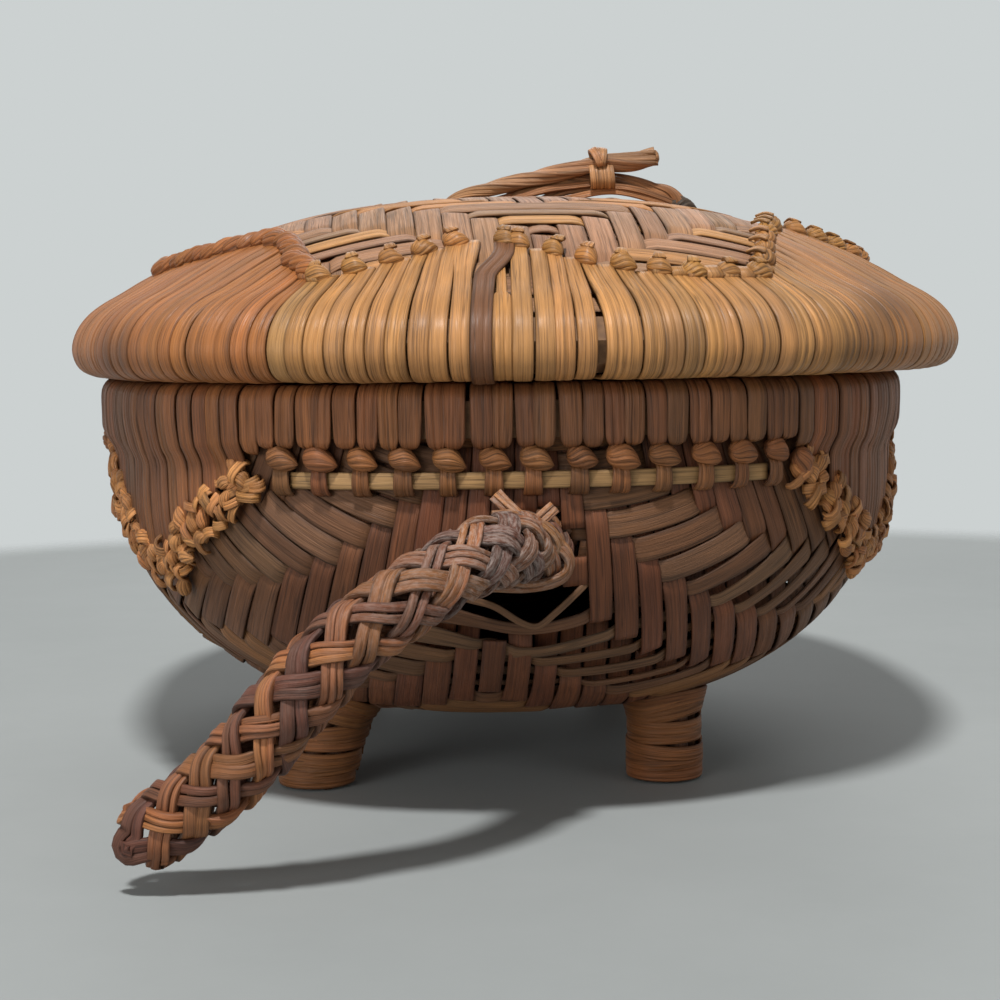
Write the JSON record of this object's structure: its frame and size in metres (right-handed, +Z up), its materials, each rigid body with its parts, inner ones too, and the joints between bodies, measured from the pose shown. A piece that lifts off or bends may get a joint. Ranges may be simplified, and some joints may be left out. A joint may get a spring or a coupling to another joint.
{
  "type": "lidded turtle basket",
  "caption": "Turtle-shaped cane basket with a low domed lift-off lid, bound rims, four short legs, a braided tail and a braided head",
  "frame": {"origin": "on the floor under the centre of the lid's outline, which is also the centre of the whole basket's box", "axes": "+Z up, -Y the end with the tail that the picture is taken from, +Y the head end, +X to the right in the picture"},
  "size_m": [0.191, 0.2709, 0.1349],
  "materials": {
    "dark_cane": "dark smoked split cane, satin",
    "brown_cane": "brown split cane, satin",
    "gold_cane": "golden split cane with its glossy skin",
    "pale_bamboo": "pale bare bamboo splint, matt",
    "braid_cane": "braided brown cane, dusty satin"
  },
  "bodies": {
    "basket": {"woven_bowl": "dark_cane", "bowl_rim_binding": "brown_cane", "bowl_outer_hoop": "pale_bamboo", "bowl_inner_hoop": "pale_bamboo", "bowl_knot_edging": "gold_cane", "front_splint": "pale_bamboo", "rear_splint": "pale_bamboo", "left_splint": "pale_bamboo", "right_splint": "pale_bamboo", "leg_core_front_left": "brown_cane", "leg_winding_front_left": "gold_cane", "leg_tie_front_left": "brown_cane", "leg_core_front_right": "brown_cane", "leg_winding_front_right": "gold_cane", "leg_tie_front_right": "brown_cane", "leg_core_rear_left": "brown_cane", "leg_winding_rear_left": "gold_cane", "leg_tie_rear_left": "brown_cane", "leg_core_rear_right": "brown_cane", "leg_winding_rear_right": "gold_cane", "leg_tie_rear_right": "brown_cane", "tail_braid": "braid_cane", "tail_tie": "brown_cane", "head_braid": "braid_cane", "head_tie": "brown_cane"},
    "lid": {"woven_lid": "dark_cane", "lid_rim_core": "pale_bamboo", "lid_rim_binding": "gold_cane", "lid_knot_edging": "gold_cane", "lid_locating_ring": "brown_cane", "handle_arch": "brown_cane", "handle_grip": "brown_cane", "handle_tie": "gold_cane"}
  },
  "joints": [
    {"name": "lid_lift", "type": "slide", "parent": "basket", "child": "lid", "axis": [0, 0, 1], "range_m": [0, 0.12]}
  ]
}
